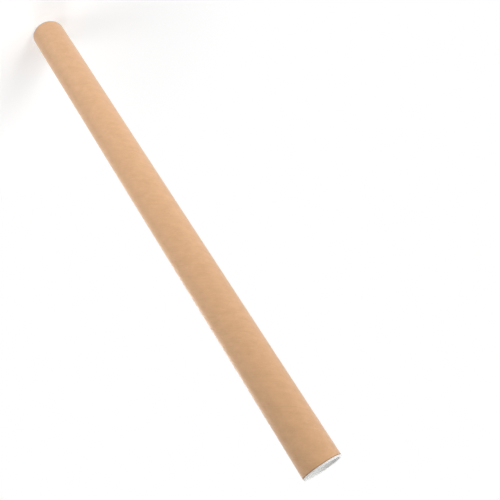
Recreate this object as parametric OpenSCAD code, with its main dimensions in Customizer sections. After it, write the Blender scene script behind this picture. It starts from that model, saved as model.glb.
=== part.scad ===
// Mailing tube: a spiral-wound brown paper tube, closed at each end by a push-in plastic plug.
// It stands on the flange of its bottom plug: the tube's axis is Z, and the floor is at Z = 0.

/* [Paper tube] */
// Inside diameter of the paper tube
bore_d = 50; // [36:0.5:110]
// Thickness of the wound paper wall
paper_wall = 1.5; // [1:0.1:4]
// Length of the paper tube between its two cut ends
tube_len = 825; // [200:1:1300]
// Radius worn on the edges of the cut ends
cut_edge_r = 0.3; // [0.1:0.05:0.45]

/* [End plugs] */
// Thickness of the flange that covers the cut end of the paper
flange_t = 2.2; // [1.6:0.1:4]
// Distance from the rim of the flange out to the face of the paper
flange_inset = 0.4; // [0:0.1:0.6]
// Radius on the outer rim of the flange
rim_r = 0.9; // [0.3:0.1:1]
// Radius on the mouth of the finger recess
mouth_r = 0.8; // [0.3:0.1:1]
// Depth that the plug goes into the paper tube
plug_depth = 20; // [16:0.5:40]
// Thickness of the plug's moulded side wall
plug_wall = 1.2; // [0.8:0.1:2.5]
// Thickness of the disc that closes the inner end of the plug
plug_base_t = 1.4; // [0.8:0.1:3]
// Gap between the plug's side wall and the paper, beside the flange
plug_gap = 0.4; // [0.3:0.05:0.8]
// Draft angle of the side wall, narrowing the plug towards its inner end, in degrees
draft_angle = 1.5; // [0.25:0.25:3]
// Radius on the leading edge of the plug
lead_in_r = 1; // [0.3:0.1:2]
// Radius in the corner between the recess wall and the recess floor
recess_corner_r = 1.5; // [0.5:0.1:4]

/* [Grip rings on the plugs] */
// Number of grip rings round each plug
ring_count = 3; // [2:1:4]
// Distance from the flange to the first grip ring
first_ring = 4.5; // [3:0.25:6]
// Plain length of the plug beyond the last grip ring
plain_tip = 6; // [4:0.25:8]
// Radius of the rounded crest of a grip ring
crest_r = 0.8; // [0.4:0.05:1.2]
// Gap between the crest of a grip ring and the paper
crest_gap = 0.05; // [0.02:0.01:0.1]

/* [Hidden] */

$fn = 96;
// A small overrun, so that cutting shapes pass clear of the faces they cut
over = 0.05;

bore_r = bore_d / 2;
tube_r = bore_r + paper_wall;
flange_r = tube_r - flange_inset;
plug_r = bore_r - plug_gap;
recess_depth = plug_depth - plug_base_t;
ring_pitch = (plug_depth - first_ring - plain_tip) / (ring_count - 1);
tube_bottom = flange_t;
tube_top = flange_t + tube_len;

brown_paper = [0.80, 0.63, 0.46];
white_plastic = [0.94, 0.94, 0.93];

// Outer radius of the plug's side wall at a depth below the flange
function wall_r(depth) = plug_r - depth * tan(draft_angle);

// Radius of the finger recess at a depth below the flange
function recess_r(depth) = wall_r(depth) - plug_wall;

// What rounding takes off a corner at the origin, between an edge along +X and an edge along +Y.
// The second edge leans back from +Y by the angle given.
module corner_waste(r, lean = 0) {
  centre_x = r * (1 - sin(lean)) / cos(lean);
  difference() {
    polygon([
      [centre_x, r],
      [centre_x, -over],
      [-over, -over],
      [centre_x - (r + over) * cos(lean), r - (r + over) * sin(lean)]
    ]);
    translate([centre_x, r]) circle(r);
  }
}

// Half section of the paper wall: a plain band with its four cut edges worn round
module paper_section() {
  difference() {
    translate([bore_r, 0]) square([paper_wall, tube_len]);
    translate([bore_r, 0]) corner_waste(cut_edge_r);
    translate([tube_r, 0]) mirror([1, 0]) corner_waste(cut_edge_r);
    translate([bore_r, tube_len]) mirror([0, 1]) corner_waste(cut_edge_r);
    translate([tube_r, tube_len]) rotate(180) corner_waste(cut_edge_r);
  }
}

// Half section of the flange as a full disc, with its underside at Y = 0 on the cut end of the paper
module flange_blank() {
  difference() {
    square([flange_r, flange_t]);
    translate([flange_r, flange_t]) rotate(180) corner_waste(rim_r);
  }
}

// Half section of the tapered plug below the flange, solid, with its leading edge rounded
module cup_blank() {
  difference() {
    polygon([
      [0, -plug_depth],
      [wall_r(plug_depth), -plug_depth],
      [plug_r, 0],
      [plug_r, flange_t / 2],
      [0, flange_t / 2]
    ]);
    translate([wall_r(plug_depth), -plug_depth]) mirror([1, 0]) corner_waste(lead_in_r, draft_angle);
  }
}

// Half section of the grip rings as full discs, whose round crests stand out close to the paper
module ring_blanks() {
  crest_x = bore_r - crest_gap - crest_r;
  for (i = [0 : ring_count - 1])
    translate([0, -first_ring - i * ring_pitch]) {
      translate([0, -crest_r]) square([crest_x, 2 * crest_r]);
      translate([crest_x, 0]) circle(crest_r);
    }
}

// Half section of the finger recess, open at the outer face of the flange, with a rounded floor corner
module recess_section() {
  difference() {
    polygon([
      [-over, -recess_depth],
      [recess_r(recess_depth), -recess_depth],
      [recess_r(0), 0],
      [recess_r(0), flange_t + over],
      [-over, flange_t + over]
    ]);
    translate([recess_r(recess_depth), -recess_depth])
      mirror([1, 0]) corner_waste(recess_corner_r, draft_angle);
  }
}

// One moulded plug, with its flange's underside at Z = 0 and its cup hanging below
module plug() {
  rotate_extrude()
    difference() {
      union() {
        flange_blank();
        cup_blank();
        ring_blanks();
      }
      recess_section();
      translate([recess_r(0), flange_t]) mirror([0, 1]) corner_waste(mouth_r);
    }
}

module paper_tube() {
  color(brown_paper) translate([0, 0, tube_bottom]) rotate_extrude() paper_section();
}

module top_plug() {
  color(white_plastic) translate([0, 0, tube_top]) plug();
}

module bottom_plug() {
  color(white_plastic) translate([0, 0, tube_bottom]) rotate([180, 0, 0]) plug();
}

paper_tube();
top_plug();
bottom_plug();
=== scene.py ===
"""Looks of a mailing tube: a spiral-wound brown paper tube with a white plastic plug in each end."""

import math

import bmesh
import bpy
import numpy as np
from mathutils import Euler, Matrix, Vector


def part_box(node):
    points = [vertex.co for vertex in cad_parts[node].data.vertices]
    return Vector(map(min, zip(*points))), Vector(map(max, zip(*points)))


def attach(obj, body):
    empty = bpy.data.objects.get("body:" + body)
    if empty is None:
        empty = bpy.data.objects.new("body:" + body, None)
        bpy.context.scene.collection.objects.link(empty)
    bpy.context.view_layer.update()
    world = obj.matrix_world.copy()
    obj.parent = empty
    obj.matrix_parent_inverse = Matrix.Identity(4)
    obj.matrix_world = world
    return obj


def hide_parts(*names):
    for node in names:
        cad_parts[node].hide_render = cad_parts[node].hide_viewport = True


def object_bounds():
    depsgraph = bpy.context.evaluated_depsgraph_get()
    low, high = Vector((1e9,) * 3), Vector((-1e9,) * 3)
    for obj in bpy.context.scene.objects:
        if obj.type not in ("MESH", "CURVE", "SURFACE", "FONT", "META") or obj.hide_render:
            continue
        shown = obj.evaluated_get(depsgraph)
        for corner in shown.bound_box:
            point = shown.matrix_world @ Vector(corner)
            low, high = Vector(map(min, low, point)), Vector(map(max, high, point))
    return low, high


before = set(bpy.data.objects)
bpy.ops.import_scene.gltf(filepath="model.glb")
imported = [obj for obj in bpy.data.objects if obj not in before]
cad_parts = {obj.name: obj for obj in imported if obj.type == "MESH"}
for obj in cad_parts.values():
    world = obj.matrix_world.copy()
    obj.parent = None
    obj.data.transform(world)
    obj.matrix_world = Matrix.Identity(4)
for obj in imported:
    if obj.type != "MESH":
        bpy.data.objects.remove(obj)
cad_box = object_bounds()

MM = 0.001
TURN = 2 * math.pi
# Points closer than this are one point
TOUCH = 1e-6

# The paper tube: its outside is taken from the frame, and its wall and worn edges are the solid's own
tube_low, tube_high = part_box("paper_tube")
TUBE_R = tube_high.x
Z_LOW, Z_HIGH = tube_low.z, tube_high.z
PAPER_WALL = 1.5 * MM
BORE_R = TUBE_R - PAPER_WALL
CUT_EDGE_R = 0.3 * MM

# The outer ply: a ribbon wound up the tube, whose edges meet in a seam
PITCH = 110 * MM
SLOPE = math.atan2(PITCH, TURN * TUBE_R)
RIBBON_W = PITCH * math.cos(SLOPE)
# The seam rises clockwise, seen from above, and crosses the front at this share of the length
HAND = -1
SEAM_AT = 0.64
FRONT = -math.pi / 2
SEAM_START = FRONT - HAND * TURN * (Z_LOW + SEAM_AT * (Z_HIGH - Z_LOW)) / PITCH
SEAM_DEPTH = 0.14 * MM
SEAM_HALF_W = 0.22 * MM
LIP_H = 0.04 * MM
LIP_AT = 0.7 * MM
LIP_HALF_W = 0.45 * MM
# The innermost ply's seam lies half a turn from the outer one's
INNER_SEAM_SHARE = 0.5
PLIES = 5
PLY_GROOVE = 0.05 * MM

# The mesh of the tube's walls: columns round it, and rows that follow the ribbon
COLUMNS = 144
PLAIN_ROWS = 12
# Rows beside a seam, as distances from it in millimetres
SEAM_ROWS = [-1.8, -1.1, -0.7, -0.42, -0.22, -0.1, 0, 0.1, 0.22, 0.42, 0.7, 1.1, 1.8]
EDGE_STEPS = 4

# The paper's patterns: features to a metre along and across the ribbon, and the fibres' leans
CLOUDS = (60, 100, 1)
STREAKS = (22, 900, 1)
FELT = (650, 3000, 1)
TOOTH = (5000, 5000, 1)
FIBRES = (330, 4200, 1)
PALE_FIBRE_ANGLE, DARK_FIBRE_ANGLE = 0.35, -0.3
SPECKS = (620, 1100, 1)
SPECK_ANGLE = 0.2
# The paper's tones, as screen levels, and how much each layer covers those below it
PAPER_DEEP, PAPER_MIDDLE = (206, 158, 112), (226, 177, 131)
PAPER_STREAK, STREAK_COVER = (227, 180, 134), 0.4
PAPER_FELT, FELT_COVER = (225, 178, 132), 0.5
PALE_FIBRE, DARK_FIBRE, FIBRE_COVER = (240, 201, 158), (180, 131, 86), 0.35
PAPER_SPECK, SPECK_COVER = (138, 96, 60), 0.6
SEAM_TONE, SEAM_COVER = (150, 108, 70), 0.16
# Painted shade and wear: the paper is darkened this close to its cut ends, partly as painted shade for the
# gap where each plug's flange meets the paper, and partly by the saw and by handling
EDGE_SHADE_AND_WEAR = 1.2 * MM
SHADE_AND_WEAR_TONE, SHADE_AND_WEAR_COVER = (112, 76, 46), 0.85
CUT_DARK, CUT_PALE = (142, 103, 68), (186, 145, 105)
CUT_GRAIN = (900, 900, 2500)
PAPER_RELIEF = 0.06 * MM
CUT_RELIEF = 0.08 * MM

# The plugs' plastic: two close whites in soft clouds, with a faint grain
PLASTIC_DULL, PLASTIC_CLEAR = (242, 242, 240), (247, 247, 246)
PLASTIC_CLOUDS = (90, 90, 90)
PLASTIC_GRAIN = (800, 800, 800)
PLASTIC_RELIEF = 0.03 * MM

# The mark that the moulding gate leaves on each recess floor, as radii and heights in millimetres
PLUG_BASE = 1.4 * MM
GATE_DISC = [(0, -0.1), (1.7, -0.1), (1.7, 0.1), (1.55, 0.22)]
GATE_NUB = [(0.6, 0.22), (0.48, 0.45), (0.3, 0.52), (0, 0.52)]
GATE_STEPS = 48
GATE_CREASE = math.radians(40)

# The stage: a pale floor and a white surround
FLOOR_HALF = 8.0
FLOOR_COLOUR = (0.8, 0.8, 0.8, 1)
WHITE = (1, 1, 1, 1)
# What lifts the floor round the object to white for the camera, while its shadow still shows
FLOOR_GLOW = 0.26
# The floor fades to plain white for the camera between these distances from the object
FADE_START, FADE_END = 0.1, 0.4
# What the surround gives as light. It shows as plain white
WORLD_LIGHT = 0.335

# Round soft lamps: name, place, the point it faces, diameter in metres and power in watts
LAMPS = [
    ("key", (-1.3, -0.85, 1.65), (0, 0, 0.7), 0.7, 7.6),
    ("low_key", (-0.7, -0.6, 0.16), (0, 0, 0.15), 0.5, 4.3),
    ("fill", (0.75, -0.3, 0.4), (0, 0, 0.35), 0.5, 3.0),
    ("back", (0.5, 0.75, 0.3), (0, 0, 0.3), 0.5, 4.5),
    ("overhead", (-0.6, -0.15, 2.1), (0, 0, 0.8), 0.7, 7.7),
]

# The camera, placed from the perspective of the photograph
CAMERA_DISTANCE = 0.783
CAMERA_HEIGHT = 0.907
CAMERA_TILT = math.radians(24.78)
CAMERA_TURN = math.radians(5.41)
CAMERA_ROLL = math.radians(145.43)
PICTURE_WIDTH = 500
FOCAL_PIXELS = 640
SENSOR = 36.0

# A Mix node's sockets for colours
MIX_FACTOR, MIX_FIRST, MIX_SECOND, MIX_RESULT = 0, 6, 7, 2


def srgb(red, green, blue):
    """A colour given as 0 to 255 screen levels, as the linear values that sockets take."""
    levels = [value / 255 for value in (red, green, blue)]
    linear = [v / 12.92 if v <= 0.04045 else ((v + 0.055) / 1.055) ** 2.4 for v in levels]
    return (*linear, 1)


class Nodes:
    """A short way to build a material or world node tree."""

    def __init__(self, owner):
        owner.use_nodes = True
        self.tree = owner.node_tree
        self.tree.nodes.clear()

    def add(self, kind, settings=None, **inputs):
        """A node with its settings. Its inputs, named with _ for spaces, take a value or a socket."""
        node = self.tree.nodes.new("ShaderNode" + kind)
        for name, value in (settings or {}).items():
            setattr(node, name, value)
        for name, value in inputs.items():
            self.put(node, name.replace("_", " "), value)
        return node

    def put(self, node, key, value):
        """Sets a node's input, by its name or number, to a value or to another node's socket."""
        if isinstance(value, bpy.types.NodeSocket):
            self.tree.links.new(value, node.inputs[key])
        else:
            node.inputs[key].default_value = value

    def math(self, operation, *values, clamp=False):
        """The result of an operation on values or sockets."""
        node = self.add("Math", {"operation": operation, "use_clamp": clamp})
        for index, value in enumerate(values):
            self.put(node, index, value)
        return node.outputs[0]

    def noise(self, vector, scale, angle=0.0, detail=3.0, roughness=0.5):
        """Noise with a grain: the vector is turned by an angle, then scaled along each axis."""
        turned = self.add("Mapping", Vector=vector, Rotation=(0, 0, angle)).outputs[0]
        scaled = self.add("VectorMath", {"operation": "MULTIPLY"})
        self.put(scaled, 0, turned)
        self.put(scaled, 1, scale)
        settings = {"Scale": 1.0, "Detail": detail, "Roughness": roughness}
        return self.add("TexNoise", Vector=scaled.outputs[0], **settings).outputs[0]

    def ramp(self, factor, *stops):
        """A value mapped through grey stops, each a place and a level."""
        node = self.add("ValToRGB", Fac=factor)
        points = node.color_ramp.elements
        while len(points) < len(stops):
            points.new(0.5)
        for point, (place, level) in zip(points, stops):
            point.position = place
            point.color = (level, level, level, 1)
        return node.outputs[0]

    def mix(self, factor, first, second):
        """A colour between two others."""
        node = self.add("Mix", {"data_type": "RGBA"})
        self.put(node, MIX_FACTOR, factor)
        self.put(node, MIX_FIRST, first)
        self.put(node, MIX_SECOND, second)
        return node.outputs[MIX_RESULT]

    def layer(self, tone, pattern, cover, colour):
        """A tone with a colour laid over it where a pattern is high."""
        return self.mix(self.math("MULTIPLY", pattern, cover), tone, srgb(*colour))


def paper_material():
    """Brown wrapping paper: felted fibres along the ribbon, streaks, specks, soft clouds and a seam."""
    material = bpy.data.materials.new("brown_paper")
    n = Nodes(material)
    uv = n.add("UVMap", {"uv_map": "ribbon"}).outputs[0]
    across = n.add("SeparateXYZ", Vector=uv).outputs[1]
    height = n.add("SeparateXYZ", Vector=n.add("TexCoord").outputs["Object"]).outputs[2]

    clouds = n.noise(uv, CLOUDS, detail=4.0, roughness=0.75)
    streaks = n.noise(uv, STREAKS, roughness=0.55)
    felt = n.noise(uv, FELT, detail=4.0, roughness=0.6)
    tooth = n.noise(uv, TOOTH, roughness=0.6)
    pale_fibres, dark_fibres = [
        n.ramp(n.noise(uv, FIBRES, angle, detail=1.5, roughness=0.4), (0.63, 0), (0.72, 1))
        for angle in (PALE_FIBRE_ANGLE, DARK_FIBRE_ANGLE)
    ]
    specks = n.ramp(n.noise(uv, SPECKS, SPECK_ANGLE, detail=1.0, roughness=0.4), (0.75, 0), (0.79, 1))

    tone = n.mix(n.ramp(clouds, (0.32, 0), (0.68, 1)), srgb(*PAPER_DEEP), srgb(*PAPER_MIDDLE))
    tone = n.layer(tone, n.ramp(streaks, (0.35, 0), (0.65, 1)), STREAK_COVER, PAPER_STREAK)
    tone = n.layer(tone, n.ramp(felt, (0.3, 0), (0.7, 1)), FELT_COVER, PAPER_FELT)
    tone = n.layer(tone, pale_fibres, FIBRE_COVER, PALE_FIBRE)
    tone = n.layer(tone, dark_fibres, FIBRE_COVER, DARK_FIBRE)
    tone = n.layer(tone, specks, SPECK_COVER, PAPER_SPECK)

    from_seam = n.math("MINIMUM", across, n.math("SUBTRACT", RIBBON_W, across))
    seam_line = n.ramp(n.math("DIVIDE", from_seam, MM, clamp=True), (0.1, 1), (0.45, 0))
    tone = n.layer(tone, seam_line, SEAM_COVER, SEAM_TONE)

    # Painted shade and wear: a ragged dark band along both cut ends, standing for the shade under the plugs'
    # flanges as well as the saw's and handling's darkening
    from_low = n.math("SUBTRACT", height, Z_LOW)
    from_high = n.math("SUBTRACT", Z_HIGH, height)
    from_cut = n.math("DIVIDE", n.math("MINIMUM", from_low, from_high), EDGE_SHADE_AND_WEAR, clamp=True)
    ragged = n.math("ADD", from_cut, n.math("MULTIPLY", n.math("SUBTRACT", felt, 0.5), 0.5))
    tone = n.layer(tone, n.ramp(ragged, (0.25, 1), (0.8, 0)), SHADE_AND_WEAR_COVER, SHADE_AND_WEAR_TONE)

    relief = n.math("ADD", n.math("MULTIPLY", felt, 0.6), n.math("MULTIPLY", tooth, 0.4))
    bump = n.add("Bump", Strength=0.35, Distance=PAPER_RELIEF, Height=relief)
    rough = n.add("MapRange", Value=tooth, To_Min=0.5, To_Max=0.68)
    shader = n.add(
        "BsdfPrincipled",
        Base_Color=tone,
        Roughness=rough.outputs[0],
        Specular_IOR_Level=0.2,
        Sheen_Weight=0.4,
        Sheen_Roughness=0.6,
        Normal=bump.outputs[0],
    )
    n.add("OutputMaterial", Surface=shader.outputs[0])
    return material


def cut_paper_material():
    """The sawn ends of the paper, darker and duller than its face."""
    material = bpy.data.materials.new("cut_paper")
    n = Nodes(material)
    grain = n.noise(n.add("TexCoord").outputs["Object"], CUT_GRAIN, detail=5.0, roughness=0.65)
    tone = n.mix(n.ramp(grain, (0.3, 0), (0.7, 1)), srgb(*CUT_DARK), srgb(*CUT_PALE))
    bump = n.add("Bump", Strength=0.5, Distance=CUT_RELIEF, Height=grain)
    shader = n.add(
        "BsdfPrincipled",
        Base_Color=tone,
        Roughness=0.95,
        Specular_IOR_Level=0.2,
        Normal=bump.outputs[0],
    )
    n.add("OutputMaterial", Surface=shader.outputs[0])
    return material


def plastic_material():
    """White moulded plastic with a soft satin face and a faint cloudiness."""
    material = bpy.data.materials.new("white_plastic")
    n = Nodes(material)
    place = n.add("TexCoord").outputs["Object"]
    clouds = n.noise(place, PLASTIC_CLOUDS)
    grain = n.noise(place, PLASTIC_GRAIN)
    tone = n.mix(n.ramp(clouds, (0.35, 0), (0.65, 1)), srgb(*PLASTIC_DULL), srgb(*PLASTIC_CLEAR))
    rough = n.add("MapRange", Value=clouds, To_Min=0.36, To_Max=0.5)
    bump = n.add("Bump", Strength=0.04, Distance=PLASTIC_RELIEF, Height=grain)
    shader = n.add(
        "BsdfPrincipled",
        Base_Color=tone,
        Roughness=rough.outputs[0],
        Normal=bump.outputs[0],
    )
    n.add("OutputMaterial", Surface=shader.outputs[0])
    return material


def seam_shape(distance):
    """How far the paper's face stands out at a distance across the seam: a groove with a lip on one side."""
    groove = np.exp(-((distance / SEAM_HALF_W) ** 2))
    lip = np.exp(-(((distance - LIP_AT) / LIP_HALF_W) ** 2))
    return LIP_H * lip - SEAM_DEPTH * groove


def row_heights():
    """Heights of a pitch's rows above the ribbon's lower edge: close at both seams, even elsewhere."""
    near = [row * MM / math.cos(SLOPE) for row in SEAM_ROWS]
    inner = INNER_SEAM_SHARE * PITCH
    plain = [PITCH * (k + 0.5) / PLAIN_ROWS for k in range(PLAIN_ROWS)]
    rows = [h % PITCH for h in near] + [inner + h for h in near] + plain
    return np.array(sorted(set(round(h, 7) for h in rows)))


def wall_sheet(bm, radius, seam_height, outwards):
    """One face of the paper wall, as rows that climb with the ribbon past both ends of the tube."""
    rows = row_heights()
    first = math.floor(Z_LOW / PITCH) - 2
    last = math.ceil(Z_HIGH / PITCH) + 1
    heights = np.concatenate([rows + PITCH * turn for turn in range(first, last)])
    columns = np.arange(COLUMNS)
    angle = SEAM_START + HAND * TURN * columns / COLUMNS
    z = heights[None, :] + PITCH * columns[:, None] / COLUMNS
    from_seam = (heights - seam_height + PITCH / 2) % PITCH - PITCH / 2
    stand = seam_shape(from_seam * math.cos(SLOPE)) * (1 if outwards else -1)
    r = radius + np.broadcast_to(stand, z.shape)
    points = np.stack([r * np.cos(angle)[:, None], r * np.sin(angle)[:, None], z], axis=2)
    verts = [[bm.verts.new(p) for p in column] for column in points]
    for i in range(COLUMNS):
        shift = len(rows) if i == COLUMNS - 1 else 0
        here, there = verts[i], verts[(i + 1) % COLUMNS]
        for k in range(len(heights) - 1 - shift):
            quad = [here[k], there[k + shift], there[k + 1 + shift], here[k + 1]]
            bm.faces.new(quad if (HAND > 0) == outwards else quad[::-1])


def wall(radius, seam_height, outwards):
    """A wall sheet trimmed level at both ends, as a bmesh of its own."""
    bm = bmesh.new()
    wall_sheet(bm, radius, seam_height, outwards)
    for level, side in ((Z_LOW + CUT_EDGE_R, -1), (Z_HIGH - CUT_EDGE_R, 1)):
        everything = bm.verts[:] + bm.edges[:] + bm.faces[:]
        plane = {"plane_co": (0, 0, level), "plane_no": (0, 0, side)}
        bmesh.ops.bisect_plane(bm, geom=everything, dist=TOUCH / 10, clear_outer=True, **plane)
    loose = [v for v in bm.verts if not v.link_faces]
    bmesh.ops.delete(bm, geom=loose, context="VERTS")
    return bm


def joined(sheets):
    """Several bmeshes as one."""
    whole = bmesh.new()
    for bm in sheets:
        mesh = bpy.data.meshes.new("sheet")
        bm.to_mesh(mesh)
        whole.from_mesh(mesh)
        bm.free()
        bpy.data.meshes.remove(mesh)
    return whole


def end_section(level, side):
    """The cut end's section from the outer edge to the bore: a worn edge, the plies' rings, a worn edge."""
    outer, inner, rings = [], [], []
    for k in range(1, EDGE_STEPS + 1):
        angle = TURN / 4 * k / EDGE_STEPS
        inset = CUT_EDGE_R * (1 - math.cos(angle))
        z = level - side * CUT_EDGE_R * (1 - math.sin(angle))
        outer.append((TUBE_R - inset, z))
        inner.append((BORE_R + inset, z))
    for k in range(1, PLIES):
        r = TUBE_R - PAPER_WALL * k / PLIES
        if BORE_R + CUT_EDGE_R + PLY_GROOVE < r < TUBE_R - CUT_EDGE_R - PLY_GROOVE:
            rings += [(r + PLY_GROOVE, level), (r, level - side * PLY_GROOVE), (r - PLY_GROOVE, level)]
    return outer + rings + inner[::-1]


def rim(bm, radius, level):
    """The open edge's vertices at a level, on one wall, in order round the tube."""
    open_edge = [v for v in bm.verts if v.is_boundary and abs(v.co.z - level) < TOUCH]
    found = [v for v in open_edge if abs(v.co.to_2d().length - radius) < PAPER_WALL / 3]
    return sorted(found, key=lambda v: math.atan2(v.co.y, v.co.x))


def close_end(bm, level, side):
    """Joins the outer wall to the inner one across a cut end."""
    edge = level - side * CUT_EDGE_R
    outer, inner = rim(bm, TUBE_R, edge), rim(bm, BORE_R, edge)
    rings = [outer]
    for r, z in end_section(level, side):
        rings.append([bm.verts.new((*(v.co.to_2d().normalized() * r), z)) for v in outer])
    rings.append(inner)
    for ring, following in zip(rings, rings[1:]):
        for k in range(len(outer)):
            j = (k + 1) % len(outer)
            quad = [ring[k], ring[j], following[j], following[k]]
            face = bm.faces.new(quad if side > 0 else quad[::-1])
            face.material_index = 1


def values(items, field, kind, count=1):
    """One field of all of a mesh's items, as a flat array."""
    array = np.empty(len(items) * count, kind)
    items.foreach_get(field, array)
    return array


def ribbon_map(mesh):
    """A UV map in metres along and across the ribbon, which breaks only at the seam."""
    layer = mesh.uv_layers.new(name="ribbon")
    points = values(mesh.vertices, "co", np.float64, 3).reshape(-1, 3)
    corners = points[values(mesh.loops, "vertex_index", np.int64)]
    starts = values(mesh.polygons, "loop_start", np.int64)
    totals = values(mesh.polygons, "loop_total", np.int64)
    face = np.repeat(np.arange(len(starts)), totals)
    centre = np.add.reduceat(corners, starts) / totals[:, None]

    def turns(places):
        """How far round the tube places lie from the seam's start, in turns."""
        return HAND * (np.arctan2(places[:, 1], places[:, 0]) - SEAM_START) / TURN

    middle = turns(centre) % 1
    winding = np.floor(centre[:, 2] / PITCH - middle)
    corner_turn = turns(corners)
    corner_turn += np.round(middle[face] - corner_turn) + winding[face]
    height = corners[:, 2] - PITCH * corner_turn
    round_tube = corner_turn * TURN * TUBE_R
    along = round_tube / math.cos(SLOPE) + height * math.sin(SLOPE)
    uv = np.stack([along, height * math.cos(SLOPE)], axis=1)
    layer.uv.foreach_set("vector", uv.astype(np.float32).ravel())


def placed(name, bm):
    """A bmesh as a smooth object in the scene."""
    mesh = bpy.data.meshes.new(name)
    bm.to_mesh(mesh)
    bm.free()
    mesh.polygons.foreach_set("use_smooth", [True] * len(mesh.polygons))
    piece = bpy.data.objects.new(name, mesh)
    bpy.context.scene.collection.objects.link(piece)
    return piece


def wound_tube():
    """The paper tube as one closed mesh: two walls with their seams, and the cut ends."""
    outer = wall(TUBE_R, 0, True)
    inner = wall(BORE_R, INNER_SEAM_SHARE * PITCH, False)
    bm = joined([outer, inner])
    close_end(bm, Z_LOW, -1)
    close_end(bm, Z_HIGH, 1)
    piece = placed("wound_tube", bm)
    ribbon_map(piece.data)
    piece.data.materials.append(paper_material())
    piece.data.materials.append(cut_paper_material())
    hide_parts("paper_tube")
    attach(piece, "tube")


def gate_mark(name, plug, floor_z, side, plastic):
    """The small raised mark of the moulding gate, in the middle of a plug's recess floor."""
    bm = bmesh.new()
    rings = []
    for radius, height in GATE_DISC + GATE_NUB:
        steps = GATE_STEPS if radius else 1
        r, z = radius * MM, floor_z + side * height * MM
        angles = [TURN * k / steps for k in range(steps)]
        rings.append([bm.verts.new((r * math.cos(a), r * math.sin(a), z)) for a in angles])
    for ring, following in zip(rings, rings[1:]):
        for k in range(GATE_STEPS):
            pairs = [(ring, k), (ring, k + 1), (following, k + 1), (following, k)]
            corners = [verts[index % len(verts)] for verts, index in pairs]
            bm.faces.new(dict.fromkeys(corners))
    bmesh.ops.recalc_face_normals(bm, faces=bm.faces)
    piece = placed(name, bm)
    piece.data.set_sharp_from_angle(angle=GATE_CREASE)
    piece.data.materials.append(plastic)
    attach(piece, plug)


def dress_plugs():
    """White plastic on both plugs, with a gate mark in each recess."""
    plastic = plastic_material()
    for plug in ("top_plug", "bottom_plug"):
        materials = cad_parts[plug].data.materials
        materials.clear()
        materials.append(plastic)
    top_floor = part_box("top_plug")[0].z + PLUG_BASE
    bottom_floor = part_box("bottom_plug")[1].z - PLUG_BASE
    gate_mark("top_gate_mark", "top_plug", top_floor, 1, plastic)
    gate_mark("bottom_gate_mark", "bottom_plug", bottom_floor, -1, plastic)


def camera_or_mirror_ray(n):
    """1 for rays that show the surround to the camera, straight or by a reflection, and 0 for light."""
    path = n.add("LightPath").outputs
    seen = n.math("MAXIMUM", path["Is Camera Ray"], path["Is Glossy Ray"])
    return n.math("MAXIMUM", seen, path["Is Transmission Ray"])


def floor_material():
    """A pale matte floor, which fades to plain white for the camera away from the object."""
    material = bpy.data.materials.new("floor")
    n = Nodes(material)
    seen = camera_or_mirror_ray(n)
    place = n.add("TexCoord").outputs["Object"]
    away = n.add("VectorMath", {"operation": "LENGTH"}, Vector=place).outputs["Value"]
    fade = n.add(
        "MapRange",
        {"interpolation_type": "SMOOTHSTEP"},
        Value=away,
        From_Min=FADE_START,
        From_Max=FADE_END,
    )
    matte = n.add("BsdfDiffuse", Color=FLOOR_COLOUR)
    glow = n.add("Emission", Color=WHITE, Strength=n.math("MULTIPLY", seen, FLOOR_GLOW))
    near = n.add("AddShader")
    n.put(near, 0, matte.outputs[0])
    n.put(near, 1, glow.outputs[0])
    far = n.add("Emission", Color=WHITE, Strength=1.0)
    whole = n.add("MixShader", Fac=n.math("MULTIPLY", seen, fade.outputs[0]))
    n.put(whole, 1, near.outputs[0])
    n.put(whole, 2, far.outputs[0])
    n.add("OutputMaterial", Surface=whole.outputs[0])
    return material


def floor():
    """The floor under the object, as part of the stage."""
    mesh = bpy.data.meshes.new("floor")
    signs = ((-1, -1), (1, -1), (1, 1), (-1, 1))
    corners = [(x * FLOOR_HALF, y * FLOOR_HALF, cad_box[0].z) for x, y in signs]
    mesh.from_pydata(corners, [], [(0, 1, 2, 3)])
    mesh.materials.append(floor_material())
    ground = bpy.data.objects.new("floor", mesh)
    bpy.context.scene.collection.objects.link(ground)


def surround():
    """A world that is white to the camera and lights the object softly from all round."""
    world = bpy.data.worlds.new("surround")
    bpy.context.scene.world = world
    n = Nodes(world)
    strength = n.add("MapRange", Value=camera_or_mirror_ray(n), To_Min=WORLD_LIGHT, To_Max=1.0)
    light = n.add("Background", Color=WHITE, Strength=strength.outputs[0])
    n.add("OutputWorld", Surface=light.outputs[0])


def soft_lamp(name, place, aim, size, power):
    """A round lamp at a place, facing a point."""
    data = bpy.data.lights.new(name, "AREA")
    data.shape = "DISK"
    data.size = size
    data.energy = power
    lamp = bpy.data.objects.new(name, data)
    lamp.location = place
    lamp.rotation_euler = (Vector(aim) - Vector(place)).to_track_quat("-Z", "Y").to_euler()
    bpy.context.scene.collection.objects.link(lamp)


def camera():
    """The photograph's view: the standing tube seen from near its top, with the camera rolled."""
    data = bpy.data.cameras.new("camera")
    data.sensor_width = SENSOR
    data.lens = SENSOR * FOCAL_PIXELS / PICTURE_WIDTH
    data.clip_start = 0.01
    view = bpy.data.objects.new("camera", data)
    view.location = (0, -CAMERA_DISTANCE, CAMERA_HEIGHT)
    level = Euler((math.pi / 2 - CAMERA_TILT, 0, CAMERA_TURN)).to_matrix()
    rolled = level @ Euler((0, 0, CAMERA_ROLL)).to_matrix()
    view.rotation_euler = rolled.to_euler()
    bpy.context.scene.collection.objects.link(view)
    bpy.context.scene.camera = view


bpy.context.scene.view_settings.view_transform = "Standard"
camera()
surround()
floor()
for lamp in LAMPS:
    soft_lamp(*lamp)
wound_tube()
dress_plugs()
